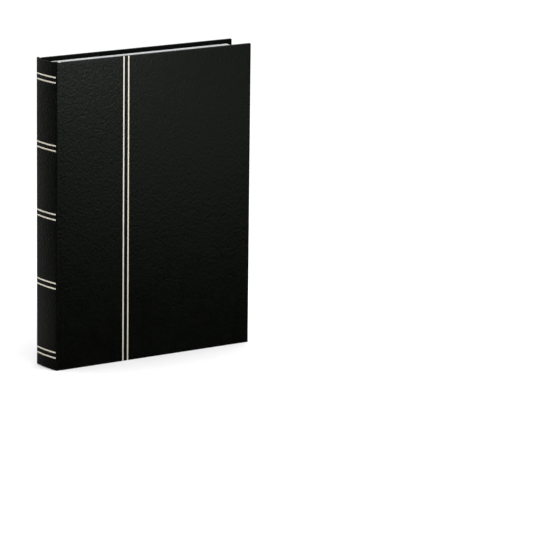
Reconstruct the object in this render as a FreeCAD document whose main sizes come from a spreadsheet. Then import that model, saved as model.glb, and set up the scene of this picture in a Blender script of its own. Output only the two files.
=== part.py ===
import FreeCAD, Part
import os
import Sketcher

# Stamp album, closed and standing on its bottom edges.
# X runs across the cover (spine at -X, fore edge at +X), Y through the thickness
# (front cover at -Y), Z up.  The origin is the middle of the bottom of the whole album.

doc = FreeCAD.newDocument("stamp_album")
V = FreeCAD.Vector

# ---------------------------------------------------------------- driving dimensions (mm)
DIMS = [
    ("album_height", 305.0),     # case, bottom edge to top edge
    ("album_width", 230.0),      # fore edge to the crown of the spine
    ("album_thick", 36.6),       # over both covers
    ("spine_bulge", 1.4),        # crown of the rounded spine
    ("spine_flat", 2.6),         # spine thickness at its two long edges
    ("skin", 0.4),               # covering material
    ("board", 2.5),              # grey board under the turn-ins
    ("paste", 0.2),              # white lining sheet
    ("groove_width", 4.0),       # joint between spine and board
    ("groove_dip", 0.5),         # depth of the joint groove
    ("turn_in", 15.0),           # covering turned over the board edges
    ("edge_round", 0.8),         # soft edge of the covering
    ("corner_round", 1.6),       # cover corners at the fore edge
    ("square_foot", 4.5),        # cover standing proud of the leaves, head and tail
    ("square_fore", 5.5),        # and at the fore edge
    ("block_clear", 0.2),        # air between lining sheet and first leaf
    ("leaf_count", 16.0),
    ("card", 1.0),               # leaf
    ("strip_thick", 0.12),       # pocket strip
    ("strip_count", 10.0),       # pocket strips on each side
    ("strip_tall", 23.2),
    ("strip_pitch", 26.6),
    ("strip_head", 21.0),        # bare head of the page
    ("strip_inner", 5.0),        # page margin at the hinge side
    ("strip_outer", 3.5),        # page margin at the fore edge
    ("glassine", 0.1),           # interleaf
    ("glassine_short", 0.6),     # interleaf smaller than the leaf at its free edges
    ("linen", 0.3),              # hinge strip
    ("hinge_wide", 7.8),         # hinge strip between lining and leaf
    ("lining", 0.6),             # lining on the back of the block
    ("back_gap", 1.8),           # hollow between spine and block lining
]
sheet = doc.addObject("Spreadsheet::Sheet", "Sheet")
for i, (alias, value) in enumerate(DIMS):
    sheet.set("A%d" % (i + 1), alias)
    sheet.set("B%d" % (i + 1), repr(value))
    sheet.setAlias("B%d" % (i + 1), alias)
doc.recompute()

# derived places, kept in the sheet as formulas so that everything follows the driving cells
DERIVED = [
    ("half_thick", "=album_thick / 2"),
    ("half_width", "=album_width / 2"),
    ("spine_in", "=-half_width + spine_bulge + spine_flat"),          # inner face of the spine
    ("board_left", "=spine_in + groove_width"),                       # joint edge of the boards
    ("cover_in", "=half_thick - skin - board - skin"),                # inner face of a cover without lining
    ("block_half", "=cover_in - paste - block_clear"),                # half the leaf block
    ("leaf_pitch", "=2 * block_half / leaf_count"),
    ("lining_left", "=spine_in + back_gap"),
    ("root_x", "=lining_left + lining"),                              # back of the leaf block
    ("card_x", "=root_x + hinge_wide"),                               # hinge edge of the leaves
    ("fore_x", "=half_width - square_fore"),
    ("page_wide", "=fore_x - card_x"),
    ("page_tall", "=album_height - 2 * square_foot"),
    ("crown_r", "=((half_thick * half_thick) + spine_bulge * spine_bulge) / (2 * spine_bulge)"),
    ("groove_r", "=(groove_width * groove_width / 4 + groove_dip * groove_dip) / (2 * groove_dip)"),
]
row = len(DIMS) + 2
for alias, formula in DERIVED:
    sheet.set("A%d" % row, alias)
    sheet.set("B%d" % row, formula)
    sheet.setAlias("B%d" % row, alias)
    row += 1
    doc.recompute()


def dim(alias):
    value = getattr(sheet, alias)
    return float(getattr(value, "Value", value))


nodes = {}


def keep(obj, name):
    obj.Label = name
    nodes[name] = obj
    return obj


def bind(obj, **what):
    for prop, expr in what.items():
        obj.setExpression(prop.replace("__", "."), expr)


def place(obj, x, y, z):
    obj.setExpression(".Placement.Base.x", x)
    obj.setExpression(".Placement.Base.y", y)
    obj.setExpression(".Placement.Base.z", z)


def box(name, x, y, z, wide, thick, tall):
    # plain plate: lower corner x, y, z and its three sizes, all as sheet expressions
    obj = doc.addObject("Part::Box", name)
    bind(obj, Length=wide, Width=thick, Height=tall)
    place(obj, x, y, z)
    return obj


def origin_plane(body, role):
    for feat in body.Origin.OriginFeatures:
        if feat.Role == role:
            return feat
    raise RuntimeError(role)


def rect_sketch(body, name, x, z, y_plane, wide, tall):
    # rectangle standing in the X-Z plane, lower left corner at x, z, at the depth y_plane
    sk = body.newObject("Sketcher::SketchObject", name)
    sk.AttachmentSupport = [(origin_plane(body, "XZ_Plane"), "")]
    sk.MapMode = "FlatFace"
    pts = [V(0, 0, 0), V(100, 0, 0), V(100, 200, 0), V(0, 200, 0)]
    for i in range(4):
        sk.addGeometry(Part.LineSegment(pts[i], pts[(i + 1) % 4]), False)
    for i in range(4):
        sk.addConstraint(Sketcher.Constraint("Coincident", i, 2, (i + 1) % 4, 1))
    sk.addConstraint(Sketcher.Constraint("Horizontal", 0))
    sk.addConstraint(Sketcher.Constraint("Horizontal", 2))
    sk.addConstraint(Sketcher.Constraint("Vertical", 1))
    sk.addConstraint(Sketcher.Constraint("Vertical", 3))
    sk.addConstraint(Sketcher.Constraint("Coincident", 0, 1, -1, 1))
    a = sk.addConstraint(Sketcher.Constraint("DistanceX", 0, 1, 0, 2, 100.0))
    b = sk.addConstraint(Sketcher.Constraint("DistanceY", 1, 1, 1, 2, 200.0))
    sk.renameConstraint(a, "wide")
    sk.renameConstraint(b, "tall")
    sk.setExpression("Constraints.wide", wide)
    sk.setExpression("Constraints.tall", tall)
    sk.setExpression("AttachmentOffset.Base.x", x)
    sk.setExpression("AttachmentOffset.Base.y", z)
    # the plane's normal points to -Y
    sk.setExpression("AttachmentOffset.Base.z", "-(%s)" % y_plane)
    return sk


def pad(body, name, sketch, length):
    # grows towards -Y from the sketch
    feat = body.newObject("PartDesign::Pad", name)
    feat.Profile = sketch
    feat.setExpression("Length", length)
    doc.recompute()
    return feat


def edges_where(shape, test):
    return ["Edge%d" % (i + 1) for i, e in enumerate(shape.Edges) if test(e.BoundBox)]


# ---------------------------------------------------------------- covers
S = "Sheet."


def cover(side):
    # side -1: front cover, +1: back cover.  lo is the lower Y of each layer, hi the higher one.
    word = "front" if side < 0 else "back"

    def layer(inner, outer):
        # inner and outer distance from the mid plane, as expressions -> (lowest y, highest y)
        if side < 0:
            return "-(%s)" % outer, "-(%s)" % inner
        return inner, outer

    cov = "Sheet.cover_in"
    mid = "Sheet.cover_in + Sheet.skin"
    top = "Sheet.cover_in + Sheet.skin + Sheet.board"
    out = "Sheet.half_thick"

    # grey board, let in under the turn-ins, with eased corners at the fore edge
    core = doc.addObject("PartDesign::Body", word + "_core")
    lo, hi = layer(mid, top)
    sk = rect_sketch(core, word + "_core_outline", S + "board_left", S + "skin", hi,
                     "Sheet.half_width - Sheet.board_left - Sheet.skin", "Sheet.album_height - 2 * Sheet.skin")
    first = pad(core, word + "_core_pad", sk, S + "board")
    size = first.Shape.BoundBox
    cuts = edges_where(first.Shape, lambda bb: abs(bb.XMin - size.XMax) < 1e-4 and bb.YLength > 2.0
                       and bb.ZLength < 1e-4)
    fil = core.newObject("PartDesign::Fillet", word + "_core_corners")
    fil.Base = (first, cuts)
    fil.setExpression("Radius", "Sheet.corner_round - Sheet.skin")
    core.Tip = fil
    doc.recompute()
    lo, hi = layer(cov, mid)
    sk = rect_sketch(core, word + "_core_raised", S + "board_left", S + "turn_in", hi,
                     "Sheet.half_width - Sheet.board_left - Sheet.turn_in", "Sheet.album_height - 2 * Sheet.turn_in")
    pad(core, word + "_core_raised_pad", sk, S + "skin")
    keep(core, word + "_board")

    # covering: outer sheet, wrapped round head, tail and fore edge and turned in
    body = doc.addObject("PartDesign::Body", word + "_skin_outside")
    lo, hi = layer(cov, out)
    sk = rect_sketch(body, word + "_skin_outline", S + "board_left", "0", hi,
                     "Sheet.half_width - Sheet.board_left", S + "album_height")
    blank = pad(body, word + "_skin_pad", sk, "Sheet.half_thick - Sheet.cover_in")
    # soft corners at the fore edge, then soft outer edges
    hw, ht, tall = dim("half_width"), dim("half_thick"), dim("album_height")
    fil = body.newObject("PartDesign::Fillet", word + "_skin_corners")
    fil.Base = (blank, edges_where(blank.Shape, lambda bb: abs(bb.XMin - hw) < 1e-4 and bb.YLength > 2.0
                                   and bb.ZLength < 1e-4))
    fil.setExpression("Radius", S + "corner_round")
    body.Tip = fil
    doc.recompute()

    def rim(bb):
        on_face = abs(bb.YMin - side * ht) < 1e-4 and abs(bb.YMax - side * ht) < 1e-4
        return on_face and bb.XMax > dim("board_left") + 0.01
    rnd = body.newObject("PartDesign::Fillet", word + "_skin_edges")
    rnd.Base = (fil, edges_where(fil.Shape, rim))
    rnd.setExpression("Radius", S + "edge_round")
    body.Tip = rnd
    doc.recompute()
    skin = doc.addObject("Part::Cut", word + "_skin")
    skin.Base = body
    skin.Tool = core
    doc.recompute()
    keep(skin, word + "_cover_leather")

    # white lining sheet on the inside
    lo, hi = layer("Sheet.cover_in - Sheet.paste", "Sheet.cover_in")
    keep(box(word + "_paste_sheet", "Sheet.board_left + 1", lo, S + "square_foot",
             "Sheet.fore_x - Sheet.board_left - 1", S + "paste", S + "page_tall"), word + "_endpaper")


cover(-1)
cover(+1)


# ---------------------------------------------------------------- spine
def crowned(name, inset):
    # plate with a rounded outer face: inset 0 is the covering's outside, inset skin the stiffener
    block = box(name + "_blank", "-Sheet.half_width - 2", "-Sheet.half_thick + %s" % inset, inset,
                "Sheet.spine_in + Sheet.half_width + 2", "Sheet.album_thick - 2 * (%s)" % inset,
                "Sheet.album_height - 2 * (%s)" % inset)
    drum = doc.addObject("Part::Cylinder", name + "_drum")
    bind(drum, Radius="Sheet.crown_r - (%s)" % inset, Height="Sheet.album_height + 20")
    place(drum, "-Sheet.half_width + Sheet.crown_r", "0", "-10")
    both = doc.addObject("Part::Common", name)
    both.Base = block
    both.Tool = drum
    doc.recompute()
    return both


spine_out = crowned("spine_outside", "0")
# soft long edges and soft head and tail
tall = dim("album_height")
picked = []
for i, e in enumerate(spine_out.Shape.Edges):
    bb = e.BoundBox
    long_edge = bb.ZLength > 100 and bb.XMax < dim("spine_in") - 0.5
    end_edge = bb.ZLength < 1e-4 and bb.XMin < dim("spine_in") - 0.5
    if long_edge:
        picked.append((i + 1, 1.2, 1.2))
    elif end_edge:
        picked.append((i + 1, 0.5, 0.5))
spine_soft = doc.addObject("Part::Fillet", "spine_soft")
spine_soft.Base = spine_out
spine_soft.Edges = picked
doc.recompute()

spine_core = crowned("spine_core", "Sheet.skin")
# the stiffener's long edges are eased so that the covering stays one thickness round them
picked = []
for i, e in enumerate(spine_core.Shape.Edges):
    bb = e.BoundBox
    if bb.ZLength > 100 and bb.XMax < dim("spine_in") - 0.5:
        picked.append((i + 1, 0.8, 0.8))
spine_stiff = doc.addObject("Part::Fillet", "spine_stiff")
spine_stiff.Base = spine_core
spine_stiff.Edges = picked
doc.recompute()
keep(spine_stiff, "spine_board")

spine_skin = doc.addObject("Part::Cut", "spine_skin")
spine_skin.Base = spine_soft
spine_skin.Tool = spine_stiff
doc.recompute()
keep(spine_skin, "spine_leather")


# ---------------------------------------------------------------- joint grooves
def joint_strip(side):
    word = "front" if side < 0 else "back"
    outer = doc.addObject("Part::Cylinder", word + "_groove_outer")
    inner = doc.addObject("Part::Cylinder", word + "_groove_inner")
    centre_y = "%d * (Sheet.half_thick - Sheet.groove_dip + Sheet.groove_r)" % side
    for cyl, rad in ((outer, "Sheet.groove_r + Sheet.skin"), (inner, "Sheet.groove_r")):
        bind(cyl, Radius=rad, Height="Sheet.album_height - 2 * Sheet.skin")
        place(cyl, "Sheet.spine_in + Sheet.groove_width / 2", centre_y, "Sheet.skin")
    ring = doc.addObject("Part::Cut", word + "_groove_ring")
    ring.Base = outer
    ring.Tool = inner
    lo = "-Sheet.half_thick" if side < 0 else "Sheet.half_thick - Sheet.groove_dip - 1"
    clip = box(word + "_groove_clip", "Sheet.spine_in", lo, "Sheet.skin",
               "Sheet.groove_width - 0.05", "Sheet.groove_dip + 1", "Sheet.album_height - 2 * Sheet.skin")
    strip = doc.addObject("Part::Common", word + "_groove")
    strip.Base = ring
    strip.Tool = clip
    doc.recompute()
    keep(strip, word + "_joint_leather")


joint_strip(-1)
joint_strip(+1)

# ---------------------------------------------------------------- leaf block
keep(box("block_back", S + "lining_left", "-Sheet.block_half", "Sheet.square_foot + 0.2",
         S + "lining", "2 * Sheet.block_half", "Sheet.page_tall - 0.4"), "back_lining")


def leaf_y(number):
    return "(-Sheet.block_half + (%s) * Sheet.leaf_pitch)" % number


count = int(round(dim("leaf_count")))
strips = int(round(dim("strip_count")))
half = count // 2
hinge_sets = {"front": [], "back": []}
for k in range(1, count + 1):
    y = leaf_y(k - 0.5)
    keep(box("card_%02d" % k, S + "card_x", y + " - Sheet.card / 2", S + "square_foot",
             S + "page_wide", S + "card", S + "page_tall"), "leaf_%02d" % k)
    tape = box("tape_%02d" % k, S + "root_x", y + " - Sheet.linen / 2", "Sheet.square_foot + 0.2",
               S + "hinge_wide", S + "linen", "Sheet.page_tall - 0.4")
    hinge_sets["front" if k <= half else "back"].append(tape)
    rows = []
    for face in (-1, 1):
        base = y + (" - Sheet.card / 2 - Sheet.strip_thick" if face < 0 else " + Sheet.card / 2")
        for j in range(strips):
            z = ("Sheet.square_foot + Sheet.page_tall - Sheet.strip_head - Sheet.strip_tall - %d * Sheet.strip_pitch" % j)
            rows.append(box("strip_%02d_%s_%02d" % (k, "a" if face < 0 else "b", j + 1),
                            "Sheet.card_x + Sheet.strip_inner", base, z,
                            "Sheet.page_wide - Sheet.strip_inner - Sheet.strip_outer",
                            S + "strip_thick", S + "strip_tall"))
    group = doc.addObject("Part::Compound", "strips_%02d" % k)
    group.Links = rows
    keep(group, "pockets_%02d" % k)
for word in ("front", "back"):
    group = doc.addObject("Part::Compound", word + "_tapes")
    group.Links = hinge_sets[word]
    keep(group, word + "_linen_hinges")
for k in range(1, count):
    y = leaf_y(k)
    keep(box("glassine_%02d" % k, S + "card_x", y + " - Sheet.glassine / 2",
             "Sheet.square_foot + Sheet.glassine_short",
             "Sheet.page_wide - Sheet.glassine_short", S + "glassine",
             "Sheet.page_tall - 2 * Sheet.glassine_short"), "interleaf_%02d" % k)

doc.recompute()

# ---------------------------------------------------------------- check and write
for obj in doc.Objects:
    if "Invalid" in obj.State or "Error" in obj.State:
        raise RuntimeError("%s failed: %s" % (obj.Name, obj.State))
os.makedirs("parts", exist_ok=True)
for name, obj in nodes.items():
    if obj.Shape.isNull() or not obj.Shape.isValid():
        raise RuntimeError("bad shape: " + name)
for name, obj in nodes.items():
    obj.Shape.exportStep("parts/%s.step" % name)
print("nodes", len(nodes))
for alias in ("spine_in", "board_left", "cover_in", "block_half", "leaf_pitch", "root_x", "card_x", "fore_x", "page_wide", "page_tall"):
    print(alias, round(dim(alias), 4))
for name in ("front_cover_leather", "front_board", "spine_leather", "spine_board", "front_joint_leather", "pockets_01", "leaf_01"):
    bb = nodes[name].Shape.BoundBox
    print(name, len(nodes[name].Shape.Solids), "vol %.1f" % nodes[name].Shape.Volume,
          [round(v, 3) for v in (bb.XMin, bb.XMax, bb.YMin, bb.YMax, bb.ZMin, bb.ZMax)])
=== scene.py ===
import math

import bmesh
import bpy
import numpy as np
from mathutils import Matrix, Vector, noise


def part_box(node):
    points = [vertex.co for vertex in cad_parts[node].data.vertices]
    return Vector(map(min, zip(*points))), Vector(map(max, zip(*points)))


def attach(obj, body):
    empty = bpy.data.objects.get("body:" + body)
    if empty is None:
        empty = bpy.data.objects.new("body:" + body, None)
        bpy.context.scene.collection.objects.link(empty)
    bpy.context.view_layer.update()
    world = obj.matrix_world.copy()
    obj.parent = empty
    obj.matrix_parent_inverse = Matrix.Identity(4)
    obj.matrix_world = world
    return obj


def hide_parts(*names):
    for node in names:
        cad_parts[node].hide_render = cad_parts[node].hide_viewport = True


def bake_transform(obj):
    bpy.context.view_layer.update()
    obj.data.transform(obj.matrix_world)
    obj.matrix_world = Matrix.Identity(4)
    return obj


# Looks of a closed, standing stamp album: leather-look case with stamped gold lines,
# white leaves with glassine pocket strips, glassine interleaves and linen hinges.
# Metres, in the frame of the construction: X spine to fore edge, Y front to back, Z up.

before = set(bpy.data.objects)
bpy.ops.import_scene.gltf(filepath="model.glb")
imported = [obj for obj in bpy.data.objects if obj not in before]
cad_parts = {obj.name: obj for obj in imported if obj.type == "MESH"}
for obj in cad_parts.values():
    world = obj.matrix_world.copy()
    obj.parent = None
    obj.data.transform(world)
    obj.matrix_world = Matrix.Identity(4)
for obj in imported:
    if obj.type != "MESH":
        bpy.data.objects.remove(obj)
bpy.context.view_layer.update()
scene = bpy.context.scene
scene.view_settings.view_transform = "Standard"
scene.view_settings.look = "None"
MM = 0.001

# ------------------------------------------------------------------ node material helpers


class Mat:
    """One procedural material: a Principled shader and a short way to add nodes."""

    def __init__(self, name, color=(0.8, 0.8, 0.8), rough=0.5, spec=0.5, metal=0.0, alpha=1.0):
        self.mat = bpy.data.materials.new(name)
        self.mat.use_nodes = True
        self.nt = self.mat.node_tree
        self.nt.nodes.clear()
        self.out = self.nt.nodes.new("ShaderNodeOutputMaterial")
        self.bsdf = self.nt.nodes.new("ShaderNodeBsdfPrincipled")
        self.nt.links.new(self.bsdf.outputs["BSDF"], self.out.inputs["Surface"])
        self.set("Base Color", (*color, 1.0))
        self.set("Roughness", rough)
        self.set("Specular IOR Level", spec)
        self.set("Metallic", metal)
        self.set("Alpha", alpha)
        self.coord = self.nt.nodes.new("ShaderNodeTexCoord").outputs["Object"]

    def set(self, socket, value):
        self.bsdf.inputs[socket].default_value = value

    def link(self, a, b):
        self.nt.links.new(a, b)

    def node(self, kind, **props):
        n = self.nt.nodes.new(kind)
        for k, v in props.items():
            setattr(n, k, v)
        return n

    def mapped(self, scale=(1, 1, 1), rot=(0, 0, 0)):
        m = self.node("ShaderNodeMapping")
        m.inputs["Scale"].default_value = scale
        m.inputs["Rotation"].default_value = rot
        self.link(self.coord, m.inputs["Vector"])
        return m.outputs["Vector"]

    def noise(self, scale, detail=4.0, rough=0.55, vec=None, distort=0.0):
        n = self.node("ShaderNodeTexNoise")
        n.inputs["Scale"].default_value = scale
        n.inputs["Detail"].default_value = detail
        n.inputs["Roughness"].default_value = rough
        n.inputs["Distortion"].default_value = distort
        self.link(vec if vec is not None else self.coord, n.inputs["Vector"])
        return n.outputs["Fac"]

    def voronoi(self, scale, feature="F1", vec=None, smooth=0.4):
        n = self.node("ShaderNodeTexVoronoi", feature=feature)
        n.inputs["Scale"].default_value = scale
        if "Smoothness" in n.inputs and feature == "SMOOTH_F1":
            n.inputs["Smoothness"].default_value = smooth
        self.link(vec if vec is not None else self.coord, n.inputs["Vector"])
        return n.outputs["Distance"]

    def wave(self, scale, direction="X", profile="SIN", distort=0.0, detail=1.0, vec=None):
        n = self.node("ShaderNodeTexWave", wave_type="BANDS", bands_direction=direction, wave_profile=profile)
        n.inputs["Scale"].default_value = scale
        n.inputs["Distortion"].default_value = distort
        n.inputs["Detail"].default_value = detail
        self.link(vec if vec is not None else self.coord, n.inputs["Vector"])
        return n.outputs["Fac"]

    def ramp(self, fac, stops):
        n = self.node("ShaderNodeValToRGB")
        els = n.color_ramp.elements
        while len(els) < len(stops):
            els.new(0.5)
        for e, (p, c) in zip(els, stops):
            e.position = p
            e.color = (*c, 1.0) if len(c) == 3 else c
        self.link(fac, n.inputs["Fac"])
        return n.outputs["Color"]

    def remap(self, fac, a, b, lo=0.0, hi=1.0):
        n = self.node("ShaderNodeMapRange")
        n.inputs["From Min"].default_value = lo
        n.inputs["From Max"].default_value = hi
        n.inputs["To Min"].default_value = a
        n.inputs["To Max"].default_value = b
        self.link(fac, n.inputs["Value"])
        return n.outputs["Result"]

    def math(self, op, a, b):
        n = self.node("ShaderNodeMath", operation=op)
        for i, v in enumerate((a, b)):
            if isinstance(v, (int, float)):
                n.inputs[i].default_value = v
            else:
                self.link(v, n.inputs[i])
        return n.outputs["Value"]

    def to(self, socket, output):
        self.link(output, self.bsdf.inputs[socket])

    def bump(self, height, strength, distance, after=None):
        n = self.node("ShaderNodeBump")
        n.inputs["Strength"].default_value = strength
        n.inputs["Distance"].default_value = distance
        self.link(height, n.inputs["Height"])
        if after is not None:
            self.link(after, n.inputs["Normal"])
        return n.outputs["Normal"]


def leather_material(name="black_leatherette", spec=0.20):
    m = Mat(name, (0.0012, 0.0016, 0.0012), 0.45, spec)
    m.set("Specular Tint", (0.885, 1.0, 0.835, 1.0))
    # fine pebble grain of about a third of a millimetre, with broader soft mottling over it
    stretch = m.mapped((1.0, 1.0, 0.82))
    cell = m.voronoi(2300.0, "SMOOTH_F1", stretch, 0.55)
    fine = m.noise(5200.0, 3.0, 0.6)
    pebble = m.noise(620.0, 3.0, 0.62, stretch)
    lump = m.noise(480.0, 1.0, 0.5, stretch)
    broad = m.noise(75.0, 4.0, 0.62, distort=0.4)
    cloud = m.noise(11.0, 3.0, 0.55)
    n1 = m.bump(cell, 0.45, 0.00012)
    n2 = m.bump(fine, 0.20, 0.00005, n1)
    n3 = m.bump(pebble, 0.60, 0.00045, n2)
    n4 = m.bump(lump, 0.70, 0.00066, n3)
    n5 = m.bump(broad, 0.25, 0.00050, n4)
    m.to("Normal", n5)
    tone = m.math("ADD", m.math("MULTIPLY", pebble, 0.5), m.math("MULTIPLY", cloud, 0.5))
    m.to("Base Color", m.ramp(tone, [(0.30, (0.0004, 0.0006, 0.0004)), (0.70, (0.0011, 0.0015, 0.0010))]))
    grip = m.math("ADD", m.math("MULTIPLY", lump, 0.55), m.math("MULTIPLY", broad, 0.45))
    m.to("Roughness", m.remap(grip, 0.25, 0.44, 0.30, 0.70))
    return m.mat


def gold_material():
    m = Mat("stamped_gold_foil", (0.90, 0.84, 0.70), 0.36, 0.5, 0.42)
    stretch = m.mapped((1.0, 1.0, 0.82))
    cell = m.voronoi(2300.0, "SMOOTH_F1", stretch, 0.55)
    wear = m.noise(420.0, 5.0, 0.7)
    m.to("Normal", m.bump(cell, 0.22, 0.00009))
    m.to("Base Color", m.ramp(wear, [(0.22, (0.62, 0.54, 0.38)), (0.42, (0.90, 0.84, 0.69)), (0.80, (0.96, 0.91, 0.80))]))
    m.to("Roughness", m.remap(wear, 0.44, 0.28, 0.3, 0.7))
    return m.mat


def card_material():
    m = Mat("white_leaf_card", (0.84, 0.85, 0.865), 0.78, 0.28)
    fibre = m.noise(900.0, 5.0, 0.65, m.mapped((1.0, 1.0, 0.45)))
    cloud = m.noise(34.0, 3.0, 0.5)
    m.to("Base Color", m.ramp(m.math("ADD", m.math("MULTIPLY", fibre, 0.4), m.math("MULTIPLY", cloud, 0.6)),
                              [(0.25, (0.800, 0.812, 0.832)), (0.75, (0.875, 0.882, 0.892))]))
    m.to("Normal", m.bump(fibre, 0.18, 0.00006))
    m.to("Roughness", m.remap(fibre, 0.72, 0.86, 0.3, 0.7))
    return m.mat


def pocket_material():
    m = Mat("glassine_pocket_strip", (0.70, 0.73, 0.725), 0.36, 0.5, 0.0, 0.86)
    pulp = m.noise(260.0, 5.0, 0.6, m.mapped((0.5, 1.0, 1.0)))
    cloud = m.noise(40.0, 4.0, 0.6)
    m.to("Base Color", m.ramp(m.math("ADD", m.math("MULTIPLY", pulp, 0.45), m.math("MULTIPLY", cloud, 0.55)),
                              [(0.28, (0.655, 0.688, 0.690)), (0.74, (0.745, 0.772, 0.770))]))
    m.to("Normal", m.bump(cloud, 0.25, 0.00020, m.bump(pulp, 0.12, 0.00005)))
    m.to("Roughness", m.remap(pulp, 0.30, 0.44, 0.3, 0.7))
    return m.mat


def glassine_material():
    m = Mat("glassine_interleaf", (0.80, 0.815, 0.81), 0.34, 0.5, 0.0, 0.62)
    pulp = m.noise(210.0, 6.0, 0.62)
    crease = m.noise(24.0, 5.0, 0.55, distort=1.1)
    m.to("Base Color", m.ramp(pulp, [(0.25, (0.765, 0.785, 0.782)), (0.75, (0.845, 0.855, 0.850))]))
    m.to("Normal", m.bump(crease, 0.55, 0.0009, m.bump(pulp, 0.12, 0.00006)))
    m.to("Roughness", m.remap(crease, 0.28, 0.42, 0.3, 0.7))
    return m.mat


def paper_material(name, dark, light, rough=0.86):
    m = Mat(name, light, rough, 0.2)
    fibre = m.noise(700.0, 6.0, 0.65, m.mapped((1.0, 1.0, 0.5)))
    cloud = m.noise(28.0, 3.0, 0.5)
    m.to("Base Color", m.ramp(m.math("ADD", m.math("MULTIPLY", fibre, 0.5), m.math("MULTIPLY", cloud, 0.5)),
                              [(0.27, dark), (0.73, light)]))
    m.to("Normal", m.bump(fibre, 0.22, 0.00007))
    m.to("Roughness", m.remap(fibre, rough - 0.06, rough + 0.05, 0.3, 0.7))
    return m.mat


def linen_material():
    m = Mat("white_linen_tape", (0.80, 0.79, 0.755), 0.9, 0.15)
    warp = m.wave(760.0, "Z", "SIN", 1.2, 2.0)
    weft = m.wave(760.0, "X", "SIN", 1.2, 2.0)
    weave = m.math("MAXIMUM", warp, weft)
    slub = m.noise(180.0, 3.0, 0.6)
    m.to("Normal", m.bump(weave, 0.6, 0.00012))
    m.to("Base Color", m.ramp(m.math("ADD", m.math("MULTIPLY", weave, 0.6), m.math("MULTIPLY", slub, 0.4)),
                              [(0.2, (0.66, 0.65, 0.61)), (0.75, (0.83, 0.82, 0.79))]))
    m.set("Sheen Weight", 0.25)
    return m.mat


LEATHER = leather_material()
# painted shade: the same leather with little specular, for the turned-in margin inside the covers
SHADED_LEATHER = leather_material("turned_in_leatherette_shaded", 0.06)
GOLD = gold_material()
CARD = card_material()
POCKET = pocket_material()
GLASSINE = glassine_material()
LININGPAPER = paper_material("white_lining_paper", (0.79, 0.79, 0.775), (0.88, 0.88, 0.865))
GREYBOARD = paper_material("grey_board", (0.27, 0.255, 0.235), (0.41, 0.39, 0.36), 0.92)
CREPE = paper_material("creped_block_lining", (0.70, 0.69, 0.655), (0.82, 0.81, 0.78), 0.9)
# painted shade for the leaf edges: dark grey at head, tail and back, lighter grey at the fore edge
CARD_EDGE_SHADE = paper_material("cut_leaf_edge_shade", (0.35, 0.37, 0.395), (0.455, 0.47, 0.495), 0.9)
FORE_EDGE_SHADE = paper_material("trimmed_fore_edge_shade", (0.60, 0.615, 0.635), (0.73, 0.74, 0.755), 0.88)
LINEN = linen_material()

# ------------------------------------------------------------------ mesh helpers


def add_object(name, verts, faces, mat, smooth=True):
    me = bpy.data.meshes.new(name)
    me.from_pydata([tuple(float(c) for c in v) for v in verts], [], faces)
    bm = bmesh.new()
    bm.from_mesh(me)
    bmesh.ops.recalc_face_normals(bm, faces=bm.faces)
    bm.to_mesh(me)
    bm.free()
    me.materials.append(mat)
    if smooth:
        me.polygons.foreach_set("use_smooth", [True] * len(me.polygons))
    me.update()
    ob = bpy.data.objects.new(name, me)
    scene.collection.objects.link(ob)
    return ob


def steps(lo, hi, r, n_mid, n_r):
    """Places along one side of a rounded block: close together in the two rounded ends."""
    ends = [r - r * math.tan(math.radians(45.0 * (1 - i / n_r))) for i in range(n_r)]
    mid = list(np.linspace(lo + r, hi - r, n_mid + 1))
    return [lo + e for e in ends] + mid + [hi - e for e in reversed(ends)]


def rounded_block(lo, hi, r, n=(8, 2, 8), n_r=3):
    """Closed block with soft edges of radius r: vertices and quads, in the units given."""
    lo, hi = np.array(lo, float), np.array(hi, float)
    axes = [steps(lo[i], hi[i], r, n[i], n_r) for i in range(3)]
    index, verts, faces = {}, [], []

    def vert(p):
        key = tuple(round(c, 6) for c in p)
        if key not in index:
            index[key] = len(verts)
            verts.append(p)
        return index[key]

    for ax in range(3):
        a, b = [i for i in range(3) if i != ax]
        for side in (lo[ax], hi[ax]):
            for i in range(len(axes[a]) - 1):
                for j in range(len(axes[b]) - 1):
                    quad = []
                    for di, dj in ((0, 0), (1, 0), (1, 1), (0, 1)):
                        p = [0.0, 0.0, 0.0]
                        p[ax], p[a], p[b] = side, axes[a][i + di], axes[b][j + dj]
                        quad.append(vert(tuple(p)))
                    faces.append(quad)
    v = np.array(verts)
    core = np.clip(v, lo + r, hi - r)
    d = v - core
    length = np.linalg.norm(d, axis=1, keepdims=True)
    v = core + d / np.maximum(length, 1e-12) * r
    return v, faces


def fbm(p, scale, seed):
    """Soft repeatable unevenness, about -1 to 1."""
    q = Vector((p[0] * scale + seed * 13.7, p[1] * scale - seed * 5.1, p[2] * scale + seed * 3.3))
    return noise.noise(q) * 0.7 + noise.noise(q * 2.3) * 0.3


def wave_field(v, scale, seed):
    return np.array([fbm(p, scale, seed) for p in v])


def plate(name, mat, us, ws, place, thick):
    """Closed thin plate over the grid us x ws: place(u, w) -> (point, unit normal); thick(u, w) its two offsets."""
    nu, nw = len(us), len(ws)
    top, bot = [], []
    for u in us:
        for w in ws:
            p, n = place(u, w)
            a, b = thick(u, w)
            p, n = np.array(p, float), np.array(n, float)
            top.append(p + n * a)
            bot.append(p + n * b)
    verts = top + bot
    off = nu * nw
    faces = []
    for i in range(nu - 1):
        for j in range(nw - 1):
            a, b, c, d = i * nw + j, (i + 1) * nw + j, (i + 1) * nw + j + 1, i * nw + j + 1
            faces.append((a, b, c, d))
            faces.append((off + a, off + d, off + c, off + b))
    for i in range(nu - 1):
        for j in (0, nw - 1):
            a, b = i * nw + j, (i + 1) * nw + j
            faces.append((a, off + a, off + b, b))
    for j in range(nw - 1):
        for i in (0, nu - 1):
            a, b = i * nw + j, i * nw + j + 1
            faces.append((a, b, off + b, off + a))
    return verts, faces


# ------------------------------------------------------------------ measures read from the frame (mm)


def mm_box(node):
    lo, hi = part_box(node)
    return np.array(lo) * 1000.0, np.array(hi) * 1000.0


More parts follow.
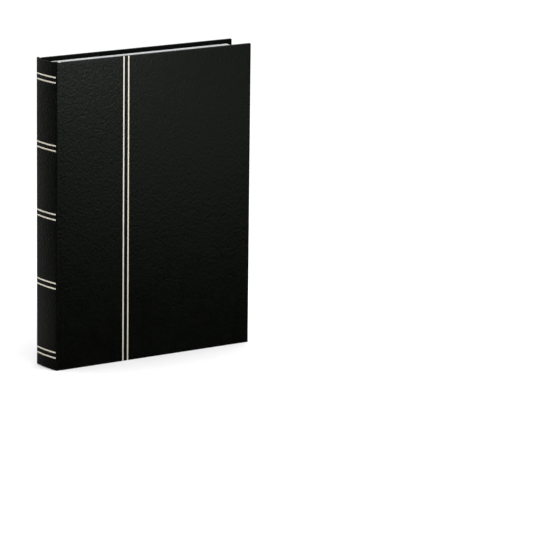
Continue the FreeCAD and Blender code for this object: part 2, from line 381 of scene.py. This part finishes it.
cov_lo, cov_hi = mm_box("front_cover_leather")
spi_lo, spi_hi = mm_box("spine_leather")
HT = cov_hi[2]                      # 305
HALF = -cov_lo[1]                   # 18.3
IN = -cov_hi[1]                     # inner face of a cover without its lining
BOARD_X = cov_lo[0]                 # joint edge of the boards
FORE_X = cov_hi[0]
SPINE_IN = spi_hi[0]
BULGE = 1.4
SPINE_EDGE = spi_lo[0] + BULGE if spi_lo[0] < -114.5 else -113.6

# ------------------------------------------------------------------ covers
EASE = 0.72                         # soft edge of the covers


def cover_skin(side):
    word = "front" if side < 0 else "back"
    y0, y1 = (-HALF, -IN) if side < 0 else (IN, HALF)
    v, f = rounded_block((BOARD_X - 0.4, y0, 0.0), (FORE_X, y1, HT), EASE, (56, 1, 76), 3)
    # the covering is not dead flat: a few hundredths of soft unevenness on the outer face
    outer = np.clip((np.abs(v[:, 1]) - (HALF - 1.0)) / 1.0, 0, 1)
    v[:, 1] += -side * outer * (0.035 + 0.035 * wave_field(v, 0.018, 3 + side))
    ob = add_object(word + "_cover_skin", v * MM, f, LEATHER)
    # painted shade: the inward-facing turned-in margin gets a darker, low-specular copy of the same leather, standing
    # in for the shade there
    ob.data.materials.append(SHADED_LEATHER)
    for poly in ob.data.polygons:
        if poly.normal.y * side < -0.6:
            poly.material_index = 1
    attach(ob, word + "_cover")
    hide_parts(word + "_cover_leather")
    return ob


cover_skin(-1)
cover_skin(+1)


def spine_x(y):
    """Outer face of the rounded spine at depth y."""
    return SPINE_EDGE - BULGE * (1 - (y / HALF) ** 2)


v, f = rounded_block((SPINE_EDGE, -HALF, 0.0), (SPINE_IN, HALF, HT + 0.9), 1.15, (3, 22, 80), 3)
outward = np.clip((SPINE_IN - v[:, 0]) / (SPINE_IN - SPINE_EDGE), 0, 1)
# head and tail are thin at the outside and fall away towards the hollow
ends = np.clip((np.abs(v[:, 2] - HT / 2) - HT / 2 + 6.0) / 6.0, 0, 1)
mid = np.clip((16.5 - np.abs(v[:, 1])) / 7.0, 0, 1)
v[:, 2] -= np.sign(v[:, 2] - HT / 2) * 2.4 * ends * mid ** 2 * (3 - 2 * mid) * np.clip((1 - outward) * 1.6, 0, 1)
v[:, 0] -= BULGE * (1 - (v[:, 1] / HALF) ** 2) * outward
v[:, 0] += outward * 0.03 * wave_field(v, 0.02, 9)
spine = add_object("spine_skin", v * MM, f, LEATHER)
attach(spine, "spine")
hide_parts("spine_leather")


def joint_skin(side):
    """Strip of covering that lies in the groove between spine and cover."""
    word = "front" if side < 0 else "back"
    us = np.linspace(0, 1, 25)
    ws = np.concatenate([np.linspace(0, 1, 5)[:-1] * 0.012, np.linspace(0.012, 0.988, 61),
                         1 - np.linspace(1, 0, 5)[1:] * 0.012])
    x0, x1 = SPINE_IN - 1.4, BOARD_X + 1.0

    def below(x):
        """Depth of the groove: a shallow press between the spine's shoulder and the face of the cover."""
        t = min(1.0, max(0.0, (x - x0) / (x1 - x0)))
        return 0.02 + 0.13 * math.sin(math.pi * t ** 0.8) ** 2

    def place(u, w):
        x = x0 + (x1 - x0) * u
        t = (x - (SPINE_IN + BOARD_X) / 2) / ((BOARD_X - SPINE_IN) / 2 + 0.45)
        bowl = max(0.0, 1 - t * t)
        depth = HALF - 0.20 - below(x)
        # head and tail are turned in and sink a little in the middle of the groove
        sink = 0.10 + 0.12 * bowl
        z = sink + (HT - 2 * sink) * w
        end = min(w, 1 - w) / 0.012
        roll = 0.5 * (1 - min(1.0, end)) ** 2
        slope = (below(x - 0.05) - below(x + 0.05)) / 0.1
        n = np.array([-slope, 1.0, 0.0])
        n /= np.linalg.norm(n)
        return (x, side * (depth - roll), z), (n[0], side * n[1], 0.0)

    verts, faces = plate(word, LEATHER, us, ws, place, lambda u, w: (0.2, -0.2))
    ob = add_object(word + "_joint_skin", np.array(verts) * MM, faces, LEATHER)
    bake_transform(ob)
    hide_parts(word + "_joint_leather")


joint_skin(-1)
joint_skin(+1)

# ------------------------------------------------------------------ stamped gold lines


def front_lines():
    verts, faces = [], []
    for centre, wide in ((-36.0, 1.42), (-30.5, 1.42)):
        us = np.linspace(centre - wide / 2, centre + wide / 2, 4)
        # the foil runs over the whole height and just over the soft edges
        ws = np.concatenate([np.linspace(0.2, 1.0, 6), np.linspace(1.6, HT - 1.6, 90), np.linspace(HT - 1.0, HT - 0.2, 6)])

        def place(u, w):
            edge = min(w, HT - w)
            drop = 0.0
            if edge < EASE:
                drop = EASE - math.sqrt(max(0.0, EASE ** 2 - (EASE - edge) ** 2))
            lift = 0.035 + 0.035 * fbm((u, -HALF, w), 0.018, 2)
            ragged = 0.035 * fbm((u * 9, 0, w * 3), 0.6, 21) * (1 if u > centre else -1)
            nz = 0.0 if edge >= EASE else (EASE - edge) / EASE * (1 if w > HT / 2 else -1)
            n = np.array([0.0, -math.sqrt(max(0.0, 1 - nz * nz)), nz])
            return (u + ragged, -HALF + drop + lift, w), n

        a, b = plate("line", GOLD, us, ws, place, lambda u, w: (0.05, -0.12))
        base = len(verts)
        verts += a
        faces += [tuple(i + base for i in q) for q in b]
    ob = add_object("front_gold_lines", np.array(verts) * MM, faces, GOLD)
    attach(ob, "front_cover")


def spine_bands():
    verts, faces = [], []
    for z in (290.3, 285.1, 223.4, 218.3, 155.7, 150.4, 87.3, 82.0, 18.1, 12.7):
        us = np.linspace(-16.9, 16.9, 40)
        ws = np.linspace(z - 0.70, z + 0.70, 4)

        def place(u, w):
            slope = 2 * BULGE * u / HALF ** 2
            n = np.array([-1.0, slope * 0.999, 0.0])
            n /= np.linalg.norm(n)
            ragged = 0.03 * fbm((u * 3, z, w * 9), 0.6, 31) * (1 if w > z else -1)
            return (spine_x(u), u, w + ragged), n

        a, b = plate("band", GOLD, us, ws, place, lambda u, w: (0.055, -0.12))
        base = len(verts)
        verts += a
        faces += [tuple(i + base for i in q) for q in b]
    ob = add_object("spine_gold_bands", np.array(verts) * MM, faces, GOLD)
    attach(ob, "spine")


front_lines()
spine_bands()

# ------------------------------------------------------------------ white lining sheets inside the covers


def endpaper(side):
    word = "front" if side < 0 else "back"
    lo, hi = mm_box(word + "_endpaper")
    v, f = rounded_block(lo, hi, 0.08, (60, 1, 84), 1)
    # the turned-in covering shows through the paper as a faint step
    inner = (np.abs(v[:, 1]) < IN - 0.1).astype(float)
    d = np.minimum.reduce([FORE_X - v[:, 0], v[:, 2], HT - v[:, 2]]) - 15.0
    step = 1 / (1 + np.exp(d / 0.7))
    v[:, 1] += side * inner * (0.07 * (1 - step) + 0.015 * wave_field(v, 0.03, 40 + side))
    ob = add_object(word + "_lining_sheet", v * MM, f, LININGPAPER)
    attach(ob, word + "_cover")
    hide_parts(word + "_endpaper")


endpaper(-1)
endpaper(+1)

# ------------------------------------------------------------------ leaf block
lining_lo, lining_hi = mm_box("back_lining")
ROOT_X = lining_hi[0]
leaves = sorted(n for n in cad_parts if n.startswith("leaf_"))
COUNT = len(leaves)


def leaf_pieces(k):
    node = "leaf_%02d" % k
    body = node
    lo, hi = mm_box(node)
    y = (lo[1] + hi[1]) / 2
    card = hi[1] - lo[1]
    rnd = np.random.default_rng(100 + k)
    # card: cut a hair differently from its neighbours, and not quite flat
    cut = rnd.uniform(-0.22, 0.0, 3)
    v, f = rounded_block((lo[0], lo[1], lo[2] - cut[0] * 0.6), (hi[0] + cut[1], hi[1], hi[2] - 0.3 + cut[2]), 0.14, (26, 1, 34), 2)
    v[:, 1] += 0.05 * wave_field(v, 0.011, k)
    ob = add_object("leaf_card_%02d" % k, v * MM, f, CARD)
    # painted shade: the cut edges get grey materials standing in for the shade between the leaves and in the recess
    # between the covers, darkest at head, tail and back, least so at the trimmed fore edge
    ob.data.materials.append(CARD_EDGE_SHADE)
    ob.data.materials.append(FORE_EDGE_SHADE)
    for poly in ob.data.polygons:
        if abs(poly.normal.y) < 0.6:
            poly.material_index = 2 if poly.normal.x > 0.6 else 1
    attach(ob, body)
    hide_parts(node)

    # pocket strips on both sides, each a thin solid strip whose top edge stands a little proud
    plo, phi = mm_box("pockets_%02d" % k)
    verts, faces = [], []
    tall, pitch = 23.2, 26.6
    for face in (-1, 1):
        for j in range(10):
            z1 = phi[2] - j * pitch
            us = np.linspace(plo[0], phi[0], 22)
            ws = np.concatenate([np.linspace(z1 - tall, z1 - 5, 5), np.linspace(z1 - 3.5, z1, 4)])
            seed = k * 40 + j + (20 if face > 0 else 0)

            def place(u, w):
                wob = 0.05 * fbm((u, y, w), 0.011, k)
                return (u, y + face * card / 2 + wob, w + 0.10 * fbm((u, 0, z1), 0.02, seed)), (0, face, 0)

            def thick(u, w):
                mouth = max(0.0, (w - (z1 - 5)) / 5.0)
                a = 0.10 + 0.03 * mouth * (0.5 + 0.5 * fbm((u, 0, z1), 0.03, seed + 7))
                return (a, 0.0)

            a, b = plate("strip", POCKET, us, ws, place, thick)
            base = len(verts)
            verts += a
            faces += [tuple(i + base for i in q) for q in b]
    ob = add_object("pocket_strips_%02d" % k, np.array(verts) * MM, faces, POCKET)
    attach(ob, body)
    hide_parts("pockets_%02d" % k)

    # linen hinge: glued round the leaf's inner edge and running to the back of the block
    us = np.concatenate([np.linspace(ROOT_X + 0.05, lo[0] - 1.2, 12), np.linspace(lo[0] - 0.9, lo[0] + 0.2, 5),
                         np.linspace(lo[0] + 1.2, lo[0] + 4.3, 4)])
    ws = np.linspace(lo[2] + 0.15, hi[2] - 0.35, 40)

    def place(u, w):
        return (u, y + 0.05 * fbm((u, y, w), 0.011, k), w), (0, 1, 0)

    def thick(u, w):
        t = min(1.0, max(0.0, (u - (lo[0] - 1.2)) / 1.2))
        h = 0.15 + (card / 2 + 0.075 - 0.15) * t * t * (3 - 2 * t)
        return (h, -h)

    a, b = plate("linen", LINEN, us, ws, place, thick)
    ob = add_object("linen_hinge_%02d" % k, np.array(a) * MM, b, LINEN)
    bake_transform(ob)
    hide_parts("front_linen_hinges" if k <= COUNT // 2 else "back_linen_hinges")


for k in range(1, COUNT + 1):
    leaf_pieces(k)


def interleaf(k):
    node = "interleaf_%02d" % k
    lo, hi = mm_box(node)
    y = (lo[1] + hi[1]) / 2
    us = np.concatenate([np.linspace(ROOT_X + 0.1, lo[0] + 2, 9), np.linspace(lo[0] + 6, hi[0], 42)])
    ws = np.linspace(lo[2], hi[2], 52)

    def place(u, w):
        ease = min(1.0, max(0.0, (u - ROOT_X) / 12.0))
        return (u, y + ease * (0.055 * fbm((u, y, w), 0.05, 60 + k) + 0.05 * fbm((u, y, w), 0.011, k)), w), (0, 1, 0)

    a, b = plate("sheet", GLASSINE, us, ws, place, lambda u, w: (0.03, -0.03))
    ob = add_object("glassine_sheet_%02d" % k, np.array(a) * MM, b, GLASSINE)
    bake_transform(ob)
    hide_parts(node)


for k in range(1, COUNT):
    interleaf(k)

# ------------------------------------------------------------------ grey boards inside the covering


def board(node, body, lo, hi, r, bulge=0.0):
    v, f = rounded_block(lo, hi, r, (10, 4, 14), 2)
    if bulge:
        out = np.clip((hi[0] - v[:, 0]) / (hi[0] - lo[0]), 0, 1)
        v[:, 0] -= bulge * (1 - (v[:, 1] / HALF) ** 2) * out
    ob = add_object(node + "_core", v * MM, f, GREYBOARD)
    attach(ob, body)
    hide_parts(node)


board("front_board", "front_cover", (BOARD_X + 0.1, -HALF + 0.45, 0.45), (FORE_X - 0.45, -IN - 0.3, HT - 0.45), 0.7)
board("back_board", "back_cover", (BOARD_X + 0.1, IN + 0.3, 0.45), (FORE_X - 0.45, HALF - 0.45, HT - 0.45), 0.7)
board("spine_board", "spine", (SPINE_EDGE + 0.45, -HALF + 0.5, 2.6), (SPINE_IN - 0.3, HALF - 0.5, HT - 2.6), 0.75, BULGE)

# ------------------------------------------------------------------ construction that stays as it is, with its finish
for node, mat in (("back_lining", CREPE),):
    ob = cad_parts[node]
    ob.data.materials.clear()
    ob.data.materials.append(mat)

# ------------------------------------------------------------------ floor, light, camera
me = bpy.data.meshes.new("floor")
me.from_pydata([(-9, -9, 0), (9, -9, 0), (9, 9, 0), (-9, 9, 0)], [], [(0, 1, 2, 3)])
floor = bpy.data.objects.new("floor", me)
scene.collection.objects.link(floor)
fm = Mat("pale_floor", (0.90, 0.90, 0.90), 0.9, 0.1)
fm.to("Roughness", fm.remap(fm.noise(60.0, 3.0), 0.86, 0.94))
me.materials.append(fm.mat)
floor.visible_glossy = False

world = bpy.data.worlds.new("studio")
scene.world = world
world.use_nodes = True
wn = world.node_tree
wn.nodes.clear()
wout = wn.nodes.new("ShaderNodeOutputWorld")
bg = wn.nodes.new("ShaderNodeBackground")
tc = wn.nodes.new("ShaderNodeTexCoord")
sep = wn.nodes.new("ShaderNodeSeparateXYZ")
rampn = wn.nodes.new("ShaderNodeValToRGB")
mr = wn.nodes.new("ShaderNodeMapRange")
mr.inputs["From Min"].default_value = -1.0
mr.inputs["From Max"].default_value = 1.0
wn.links.new(tc.outputs["Generated"], sep.inputs["Vector"])
wn.links.new(sep.outputs["Z"], mr.inputs["Value"])
wn.links.new(mr.outputs["Result"], rampn.inputs["Fac"])
els = rampn.color_ramp.elements
els[0].position, els[0].color = 0.54, (0.006, 0.006, 0.0065, 1)
els[1].position, els[1].color = 0.84, (0.96, 0.97, 0.98, 1)
# low surroundings: a grey room all round, with a dark flag right of the front and one left of the back


def dark_flag(towards, wide, narrow, dark):
    dot = wn.nodes.new("ShaderNodeVectorMath")
    dot.operation = "DOT_PRODUCT"
    dot.inputs[1].default_value = towards
    wn.links.new(tc.outputs["Generated"], dot.inputs[0])
    shade = wn.nodes.new("ShaderNodeMapRange")
    shade.inputs["From Min"].default_value = wide
    shade.inputs["From Max"].default_value = narrow
    shade.inputs["To Min"].default_value = 0.13
    shade.inputs["To Max"].default_value = dark
    wn.links.new(dot.outputs["Value"], shade.inputs["Value"])
    return shade.outputs["Result"]


low = wn.nodes.new("ShaderNodeMath")
low.operation = "MINIMUM"
wn.links.new(dark_flag((0.567, -0.796, -0.212), 0.66, 0.94, 0.003), low.inputs[0])
wn.links.new(dark_flag((-0.80, 0.56, -0.212), 0.74, 0.97, 0.035), low.inputs[1])
both = wn.nodes.new("ShaderNodeMath")
both.operation = "MAXIMUM"
wn.links.new(rampn.outputs["Color"], both.inputs[0])
wn.links.new(low.outputs["Value"], both.inputs[1])
wn.links.new(both.outputs["Value"], bg.inputs["Color"])
# the room behind the floor is seen as plain white
paper = wn.nodes.new("ShaderNodeBackground")
paper.inputs["Color"].default_value = (0.95, 0.955, 0.96, 1)
seen = wn.nodes.new("ShaderNodeLightPath")
pick = wn.nodes.new("ShaderNodeMixShader")
wn.links.new(seen.outputs["Is Camera Ray"], pick.inputs["Fac"])
wn.links.new(bg.outputs["Background"], pick.inputs[1])
wn.links.new(paper.outputs["Background"], pick.inputs[2])
bg.inputs["Strength"].default_value = 1.2
wn.links.new(pick.outputs["Shader"], wout.inputs["Surface"])


def softbox(name, place, target, size, power, color=(1, 1, 1)):
    ld = bpy.data.lights.new(name, "AREA")
    ld.shape = "RECTANGLE"
    ld.size, ld.size_y = size
    ld.energy = power
    ld.color = color
    ob = bpy.data.objects.new(name, ld)
    scene.collection.objects.link(ob)
    ob.location = place
    ob.visible_camera = False
    ob.rotation_euler = (Vector(target) - Vector(place)).to_track_quat("-Z", "Y").to_euler()
    return ob


softbox("top_softbox", (-0.2, -0.25, 2.6), (0.0, 0.0, 0.1), (3.2, 3.2), 46.0)
softbox("cover_softbox", (0.26, -0.33, 0.20), (0.26, 0.0, 0.20), (0.50, 0.27), 0.30)
softbox("corner_softbox", (0.03, -0.33, 0.32), (0.03, 0.0, 0.32), (0.12, 0.10), 0.30, (1.0, 0.965, 1.12))
softbox("spine_softbox", (-0.46, 1.10, 0.17), (-0.11, 0.0, 0.10), (0.26, 0.30), 0.155, (0.95, 1.0, 0.92))
softbox("spine_low_card", (-0.265, 0.43, 0.065), (-0.115, 0.0, 0.11), (0.12, 0.11), 0.013, (0.95, 1.0, 0.92))
softbox("spine_floor_card", (-0.20, 0.19, 0.003), (-0.20, 0.19, 1.0), (0.14, 0.30), 0.025, (0.95, 1.0, 0.92))

F_PX, YAW, PITCH, ROLL, DIST, OX, OY = 4000.0, -35.603, 12.466, 0.697, 3.955687, 143.75, 202.80
a, e, ro = (math.radians(t) for t in (YAW, PITCH, ROLL))
back = Vector((math.sin(a) * math.cos(e), -math.cos(a) * math.cos(e), math.sin(e)))
right = Vector((0, 0, 1)).cross(back).normalized()
up = back.cross(right)
r_ax = math.cos(ro) * right + math.sin(ro) * up
u_ax = -math.sin(ro) * right + math.cos(ro) * up
xc, yc = (OX - 275.0) / F_PX * DIST, -(OY - 275.0) / F_PX * DIST
cam_data = bpy.data.cameras.new("camera")
cam_data.sensor_width = 36.0
cam_data.lens = F_PX / 550.0 * 36.0
cam_data.clip_start, cam_data.clip_end = 0.1, 60.0
cam = bpy.data.objects.new("camera", cam_data)
scene.collection.objects.link(cam)
where = Vector((0, 0, 0.1525)) + back * DIST - r_ax * xc - u_ax * yc
cam.matrix_world = Matrix(((r_ax.x, u_ax.x, back.x, where.x), (r_ax.y, u_ax.y, back.y, where.y),
                           (r_ax.z, u_ax.z, back.z, where.z), (0, 0, 0, 1)))
scene.camera = cam
